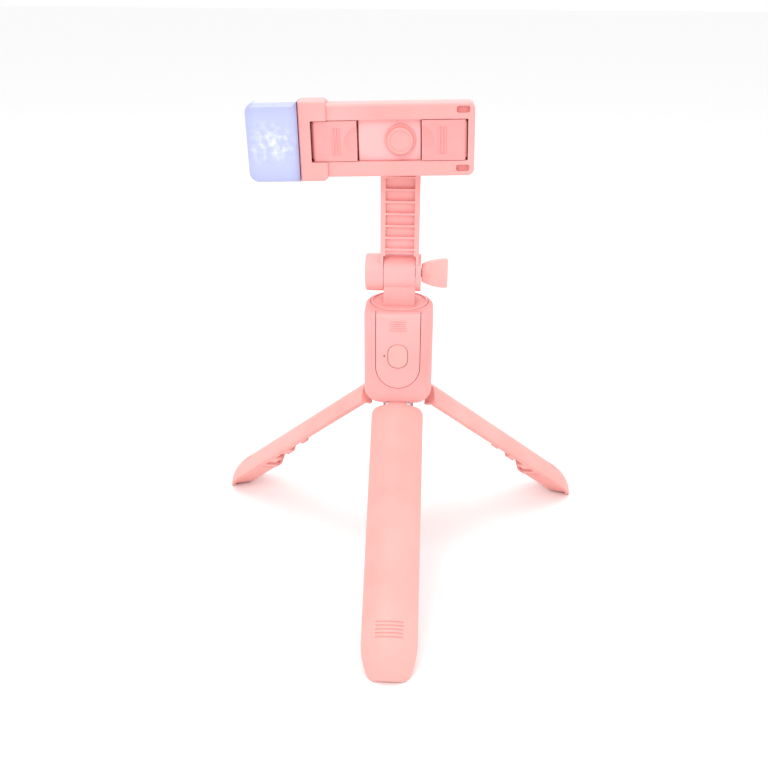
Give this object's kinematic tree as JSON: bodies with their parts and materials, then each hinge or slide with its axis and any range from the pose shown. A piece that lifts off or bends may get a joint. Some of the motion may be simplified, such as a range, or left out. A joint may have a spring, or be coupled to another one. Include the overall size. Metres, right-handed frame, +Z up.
{
  "type": "selfie stick",
  "caption": "Telescopic phone holder on three fold-out legs, with a slide-out remote, tilting ladder arm, sprung phone clamp with flip-out jaws and a turning fill light.",
  "frame": {"origin": "on the pole's axis, at the level of the ground that the open legs stand on", "axes": "+Z up along the pole, front of the remote and of the phone clamp towards -Y, fill light towards -X"},
  "size_m": [0.2318, 0.2043, 0.2682],
  "materials": {
    "housing": "satin moulded, fine texture",
    "remote": "satin moulded",
    "button": "satin moulded",
    "leg": "satin moulded",
    "head": "satin moulded",
    "clamp": "satin moulded",
    "plate": "polished",
    "jaw": "satin moulded",
    "wing": "satin moulded",
    "diffuser": "milky translucent",
    "light_case": "satin",
    "rubber": "soft matt",
    "nylon": "natural",
    "tube": "drawn and polished",
    "steel": "zinc plated",
    "board": "solder mask",
    "led": "clear",
    "battery": "foil pouch"
  },
  "bodies": {
    "housing": {"housing_front": "housing", "housing_back": "housing", "housing_screws": "steel", "leg_hub": "housing", "leg_hinge_pins": "steel", "pole_guide": "housing", "tube_1": "tube", "pole_end_plug": "housing"},
    "front_leg": {"leg_front": "leg", "foot_front": "leg", "foot_pad_front": "rubber"},
    "right_leg": {"leg_right": "leg", "foot_right": "leg", "foot_pad_right": "rubber"},
    "left_leg": {"leg_left": "leg", "foot_left": "leg", "foot_pad_left": "rubber"},
    "section_2": {"tube_2": "tube", "tube_glide_2": "nylon"},
    "section_3": {"tube_3": "tube", "tube_glide_3": "nylon"},
    "section_4": {"tube_4": "tube", "tube_glide_4": "nylon", "swivel_post": "steel", "swivel_screw": "steel"},
    "swivel_head": {"swivel_collar": "head", "tongue_screws": "steel", "tilt_tongue": "head"},
    "arm": {"ladder_arm": "head", "tilt_nut": "steel", "pivot_post": "steel", "pivot_knob": "clamp"},
    "wing_screw": {"wing_bolt": "steel", "wing_grip": "wing"},
    "clamp": {"clamp_frame": "clamp", "clamp_plate": "plate", "jaw_pin_right": "steel", "clamp_springs": "steel"},
    "clamp_slide": {"clamp_end_cap": "clamp", "slide_rods": "steel", "jaw_tray": "clamp", "jaw_pin_left": "steel", "light_clip": "steel"},
    "left_jaw": {"jaw_left": "jaw", "jaw_pad_left": "rubber"},
    "right_jaw": {"jaw_right": "jaw", "jaw_pad_right": "rubber"},
    "fill_light": {"light_diffuser": "diffuser", "light_back": "light_case", "light_board": "board", "light_battery": "battery", "charge_port": "steel"},
    "light_switch": {"light_button": "light_case"},
    "remote": {"remote_cover": "remote", "remote_tray": "remote", "remote_board": "board", "remote_cell": "steel", "remote_switch": "nylon", "remote_led": "led"},
    "shutter_button": {"remote_button": "button"}
  },
  "joints": [
    {"name": "front_leg_fold", "type": "hinge", "parent": "housing", "child": "front_leg", "pos_m": [0, -0.0135, 0.1044], "axis": [1, 0, 0], "range_deg": [0, 50.2]},
    {"name": "right_leg_fold", "type": "hinge", "parent": "housing", "child": "right_leg", "pos_m": [0.01169, 0.00675, 0.1044], "axis": [-0.5, 0.866, 0], "range_deg": [0, 50.2]},
    {"name": "left_leg_fold", "type": "hinge", "parent": "housing", "child": "left_leg", "pos_m": [-0.01169, 0.00675, 0.1044], "axis": [-0.5, -0.866, 0], "range_deg": [0, 50.2]},
    {"name": "section_2_extend", "type": "slide", "parent": "housing", "child": "section_2", "axis": [0, 0, 1], "range_m": [0, 0.1195]},
    {"name": "section_3_extend", "type": "slide", "parent": "section_2", "child": "section_3", "axis": [0, 0, 1], "range_m": [0, 0.1195]},
    {"name": "section_4_extend", "type": "slide", "parent": "section_3", "child": "section_4", "axis": [0, 0, 1], "range_m": [0, 0.1195]},
    {"name": "head_swivel", "type": "hinge", "parent": "section_4", "child": "swivel_head", "pos_m": [0, 0, 0.1573], "axis": [0, 0, 1], "continuous": true},
    {"name": "arm_tilt", "type": "hinge", "parent": "swivel_head", "child": "arm", "pos_m": [0, 0, 0.174], "axis": [1, 0, 0], "range_deg": [-90, 90]},
    {"name": "wing_screw_turn", "type": "hinge", "parent": "arm", "child": "wing_screw", "pos_m": [0, 0, 0.174], "axis": [1, 0, 0], "range_deg": [0, 360]},
    {"name": "clamp_turn", "type": "hinge", "parent": "arm", "child": "clamp", "pos_m": [0, 0, 0.2496], "axis": [0, 1, 0], "continuous": true},
    {"name": "clamp_open", "type": "slide", "parent": "clamp", "child": "clamp_slide", "axis": [-0.9997, 0, -0.0262], "range_m": [0, 0.03], "stiffness_N_per_m": 250, "springref_m": -0.02},
    {"name": "left_jaw_open", "type": "hinge", "parent": "clamp_slide", "child": "left_jaw", "pos_m": [-0.04109, -0.0212, 0.24853], "axis": [0.0262, 0, -0.9997], "range_deg": [0, 90]},
    {"name": "right_jaw_open", "type": "hinge", "parent": "clamp", "child": "right_jaw", "pos_m": [0.03019, -0.0212, 0.25039], "axis": [-0.0262, 0, 0.9997], "range_deg": [0, 90]},
    {"name": "light_turn", "type": "hinge", "parent": "clamp_slide", "child": "fill_light", "pos_m": [-0.05008, -0.019, 0.24829], "axis": [0.9997, 0, 0.0262], "range_deg": [0, 180]},
    {"name": "light_button_press", "type": "slide", "parent": "fill_light", "child": "light_switch", "axis": [0, -1, 0], "range_m": [0, 0.0007], "stiffness_N_per_m": 600, "springref_m": -0.0003},
    {"name": "remote_lift", "type": "slide", "parent": "housing", "child": "remote", "axis": [0, 0, 1], "range_m": [0, 0.044]},
    {"name": "shutter_press", "type": "slide", "parent": "remote", "child": "shutter_button", "axis": [0, 1, 0], "range_m": [0, 0.0006], "stiffness_N_per_m": 800, "springref_m": -0.0003}
  ]
}
